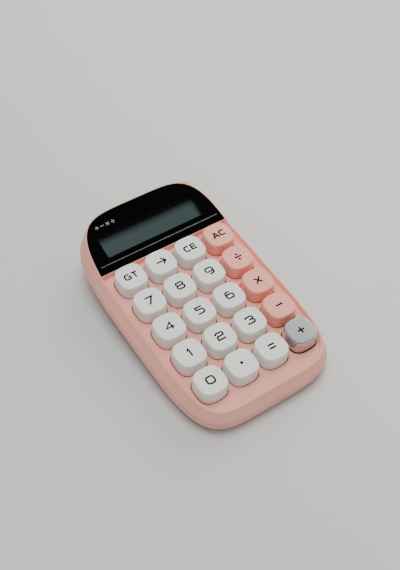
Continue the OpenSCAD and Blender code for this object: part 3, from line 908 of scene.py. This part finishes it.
def letter_strokes(letter, x, w):
    """A capital letter whose middle is at x and whose centre lines are w apart."""
    h = CAPITAL
    end = h + LEGEND_W / 2
    x0, x1 = x - w / 2, x + w / 2
    if letter == "G":
        return [bowl_path((x1, h), ((x0, h), (x0, -h), (x1, -h)), (x1, 0), 1.0),
                line_path((x + 0.1, -0.1), (x1 + LEGEND_W / 2, -0.1))]
    if letter == "C":
        return [bowl_path((x1 + 0.1, h), ((x0, h), (x0, -h)), (x1 + 0.1, -h), 1.1)]
    if letter == "T":
        return [line_path((x0, h), (x1, h)), line_path((x, h), (x, -end))]
    if letter == "E":
        return [line_path((x1, h), (x0, h), (x0, -h), (x1, -h)),
                line_path((x0, 0), (x1 - 0.2, 0))]
    return [line_path((x0 - 0.1, -end), (x - 0.15, h), (x + 0.15, h), (x1 + 0.1, -end)),
            line_path((x0 + 0.5, -0.75), (x1 - 0.5, -0.75))]


def legend_parts(name):
    """Strokes and dots of a key's legend."""
    if name in "0123456789":
        return digit_strokes(name), ()
    if name == "gt":
        return letter_strokes("G", -2.15, 3.1) + letter_strokes("T", 2.2, 3.3), ()
    if name == "ce":
        return letter_strokes("C", -2.05, 3.1) + letter_strokes("E", 2.1, 2.9), ()
    if name == "ac":
        return letter_strokes("A", -2.05, 3.2) + letter_strokes("C", 2.2, 3.0), ()
    if name == "back":
        return [line_path((-2.9, 0), (2.6, 0)), line_path((0.6, 2.2), (2.8, 0), (0.6, -2.2))], ()
    if name == "divide":
        return [line_path((-2.2, 0), (2.2, 0))], ((0, 1.8, 1.35), (0, -1.8, 1.35))
    if name == "times":
        return [line_path((-1.85, -1.85), (1.85, 1.85)), line_path((-1.85, 1.85), (1.85, -1.85))], ()
    if name == "minus":
        return [line_path((-2.05, 0), (2.05, 0))], ()
    if name == "equals":
        return [line_path((-2.1, h), (2.1, h)) for h in (-1.03, 1.03)], ()
    return [line_path((-2.05, 0), (2.05, 0)), line_path((0, -2.05), (0, 2.05))], ()


def make_legends():
    for name, col, row in KEYS:
        x, y = key_centre(col, row)
        at = DECK @ Matrix.Translation((x, y, 0))
        if name == "point":
            piece = prism("legend_point", circle_points(1.75, 40), 8.0, 8.165, at)
        else:
            strokes, dots = legend_parts(name)
            piece = glyph(f"legend_{name}", strokes, LEGEND_W, at, dots=dots)
        place(piece, f"key_{name}", INK, "legend_black")


def make_panel_marks():
    """Four plain arithmetic signs at the upper left of the display panel."""
    h = 1.1
    signs = (
        ("plus", -28.3, [((-h, 0), (h, 0)), ((0, -h), (0, h))], ()),
        ("minus", -24.9, [((-h, 0), (h, 0))], ()),
        ("times", -21.5, [((-0.9, -0.9), (0.9, 0.9)), ((-0.9, 0.9), (0.9, -0.9))], ()),
        ("divide", -18.1, [((-h, 0), (h, 0))], ((0, 0.9, 0.6), (0, -0.9, 0.6))),
    )
    for name, x, lines, dots in signs:
        at = LENS @ Matrix.Translation((x, 27.1, 0))
        piece = glyph(f"panel_mark_{name}", [(line, False) for line in lines], 0.36, at,
                      -0.05, 0.012, dots)
        place(piece, "case", MARK, "mark_grey")


make_legends()
make_panel_marks()


# ---- Switch springs ----

def tube(name, path, radius, sides, matrix):
    """A round wire along a path, with closed ends."""
    p = np.array(path, float)
    tangent = np.gradient(p, axis=0)
    tangent /= np.linalg.norm(tangent, axis=1)[:, None]
    vertices = []
    for q, t in zip(p, tangent):
        across = np.cross(t, (0, 0, 1))
        across /= np.linalg.norm(across)
        upward = np.cross(across, t)
        for i in range(sides):
            a = 2 * math.pi * i / sides
            vertices.append(q + radius * (math.cos(a) * across + math.sin(a) * upward))
    n = len(p)
    faces = [[j * sides + i, j * sides + (i + 1) % sides, (j + 1) * sides + (i + 1) % sides,
              (j + 1) * sides + i] for j in range(n - 1) for i in range(sides)]
    faces += [list(range(sides))[::-1], [(n - 1) * sides + i for i in range(sides)]]
    return new_object(name, [tuple(v) for v in vertices], faces, matrix, 60)


def coil_path(r, z0, z1, turns, closed_turns=0.75, steps=22):
    """A compression coil whose end turns lie flat."""
    total = turns + 2 * closed_turns
    count = int(total * steps)
    points = []
    for i in range(count + 1):
        t = total * i / count
        rise = smooth_ramp(t, closed_turns, turns)
        a = 2 * math.pi * t
        points.append((r * math.cos(a), r * math.sin(a), z0 + (z1 - z0) * rise))
    return points


def smooth_ramp(t, flat, turns):
    u = min(1, max(0, (t - flat) / turns))
    return u + 0.06 * math.sin(2 * math.pi * u) * -1


def make_springs():
    wire_r = 0.22
    low, high = SPRING_BOTTOM + 0.05, SPRING_TOP
    path = coil_path(SPRING_D / 2 - wire_r, low + wire_r, high - wire_r, 4.5)
    for name, col, row in KEYS:
        x, y = key_centre(col, row)
        at = DECK @ Matrix.Translation((x, y, 0))
        spring = tube(f"spring_{name}", path, wire_r, 6, at)
        place(spring, "case", STEEL, "spring_steel", "switch_springs")
        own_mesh(spring)


make_springs()


# ---- CAD nodes that keep their shape ----

def soften(node, width, angle=40):
    """Small rounded edges on a CAD node, with even shading."""
    o = frame["nodes"][node]
    weld = o.modifiers.new("weld", "WELD")
    weld.merge_threshold = 0.000002
    bevel = o.modifiers.new("edge", "BEVEL")
    bevel.width = width * MM
    bevel.segments = 2
    bevel.limit_method = "ANGLE"
    bevel.angle_limit = math.radians(angle)
    bevel.use_clamp_overlap = True
    bevel.harden_normals = False
    weights = o.modifiers.new("even_normals", "WEIGHTED_NORMAL")
    weights.keep_sharp = True


def finish_node(node, material, width=0.0):
    o = frame["nodes"][node]
    o.data.materials.clear()
    o.data.materials.append(material)
    if width:
        soften(node, width)


finish_node("display_trim", TRIM, 0.04)
finish_node("lcd_glass", LCD, 0.08)
finish_node("lcd_holder", HOLDER, 0.15)
finish_node("lcd_ribbon", RIBBON)
finish_node("switch_plate", PLATE, 0.12)
finish_node("main_board", BOARD, 0.1)
finish_node("controller_chips", CHIP, 0.1)
finish_node("switch_bases", SWITCH_BLACK, 0.12)
finish_node("switch_tops", SWITCH_CLEAR, 0.15)
finish_node("battery_door", CASE, 0.15)
finish_node("battery_cells", CELL, 0.3)
finish_node("battery_contacts", CONTACT, 0.08)
finish_node("battery_wires", WIRE)
finish_node("rubber_feet", RUBBER, 0.25)
finish_node("case_screws", SCREW, 0.12)
finish_node("plate_screws", SCREW, 0.08)
for name, _, _ in KEYS:
    finish_node(f"slider_{name}", SLIDER, 0.12)

# ---- Camera, light and floor ----

CAMERA_TARGET = Vector((0.0036, 0.00425, 0.020))
CAMERA_DISTANCE = 0.4804
CAMERA_AZIMUTH = math.radians(35.16)
CAMERA_ELEVATION = math.radians(49.77)
CAMERA_ROLL = math.radians(1.64)
CAMERA_LENS = 55.4


def make_camera():
    data = bpy.data.cameras.new("camera")
    data.lens = CAMERA_LENS
    data.sensor_width = 36
    data.clip_start = 0.01
    camera = bpy.data.objects.new("camera", data)
    bpy.context.scene.collection.objects.link(camera)
    turn = (Matrix.Rotation(-CAMERA_AZIMUTH, 4, "Z")
            @ Matrix.Rotation(math.pi / 2 - CAMERA_ELEVATION, 4, "X")
            @ Matrix.Rotation(CAMERA_ROLL, 4, "Z"))
    back = turn.to_3x3() @ Vector((0, 0, CAMERA_DISTANCE))
    camera.matrix_world = Matrix.Translation(CAMERA_TARGET + back) @ turn
    bpy.context.scene.camera = camera


def make_floor():
    size = 3.0
    mesh = bpy.data.meshes.new("floor")
    mesh.from_pydata([(-size, -size, 0), (size, -size, 0), (size, size, 0), (-size, size, 0)],
                     [], [(0, 1, 2, 3)])
    floor = bpy.data.objects.new("floor", mesh)
    bpy.context.scene.collection.objects.link(floor)
    s = Shader("floor_paper", srgb(206, 209, 209), 0.75, specular=0.2)
    # Painted light: the paper goes lighter and warmer from x = -0.15 m to x = 0.2 m, towards the
    # window light's side.
    split = s.nodes.new("ShaderNodeSeparateXYZ")
    s.links.new(s.coordinates.outputs["Object"], split.inputs["Vector"])
    across = s.ranged(split.outputs["X"], 0, 1, -0.15, 0.2)
    s.vary_colour(across, srgb(220, 221, 217), 1.0)
    floor.data.materials.append(s.material)


def area_light(name, place_at, aim, size, power, colour=(1, 1, 1), mirrored=True):
    data = bpy.data.lights.new(name, "AREA")
    data.shape = "RECTANGLE"
    data.size, data.size_y = size
    data.energy = power
    data.color = colour
    light = bpy.data.objects.new(name, data)
    light.location = place_at
    light.rotation_euler = (Vector(aim) - Vector(place_at)).to_track_quat("-Z", "Y").to_euler()
    light.visible_glossy = mirrored
    bpy.context.scene.collection.objects.link(light)


def make_lights():
    world = bpy.data.worlds.new("studio")
    world.use_nodes = True
    nodes, links = world.node_tree.nodes, world.node_tree.links
    background = nodes["Background"]
    coordinates = nodes.new("ShaderNodeTexCoord")
    split = nodes.new("ShaderNodeSeparateXYZ")
    ramp = nodes.new("ShaderNodeValToRGB")
    stops = ((0.0, 0.70), (0.45, 0.96), (0.72, 0.70), (0.84, 0.24), (0.9, 0.08), (1.0, 0.06))
    for i, (position, value) in enumerate(stops):
        if i < 2:
            stop = ramp.color_ramp.elements[i]
            stop.position = position
        else:
            stop = ramp.color_ramp.elements.new(position)
        stop.color = (value, value * 1.01, value * 1.01, 1)
    links.new(coordinates.outputs["Generated"], split.inputs["Vector"])
    links.new(split.outputs["Z"], ramp.inputs["Fac"])
    links.new(ramp.outputs["Color"], background.inputs["Color"])
    background.inputs["Strength"].default_value = 0.72
    bpy.context.scene.world = world
    area_light("ceiling_light", (0.0, 0.1, 1.4), (0, 0, 0), (0.8, 0.8), 16.2,
               (0.985, 1.0, 0.99), mirrored=False)
    area_light("window_light", (1.0, 0.6, 0.85), (0, 0, 0), (1.2, 0.9), 10.0)


make_camera()
make_floor()
make_lights()
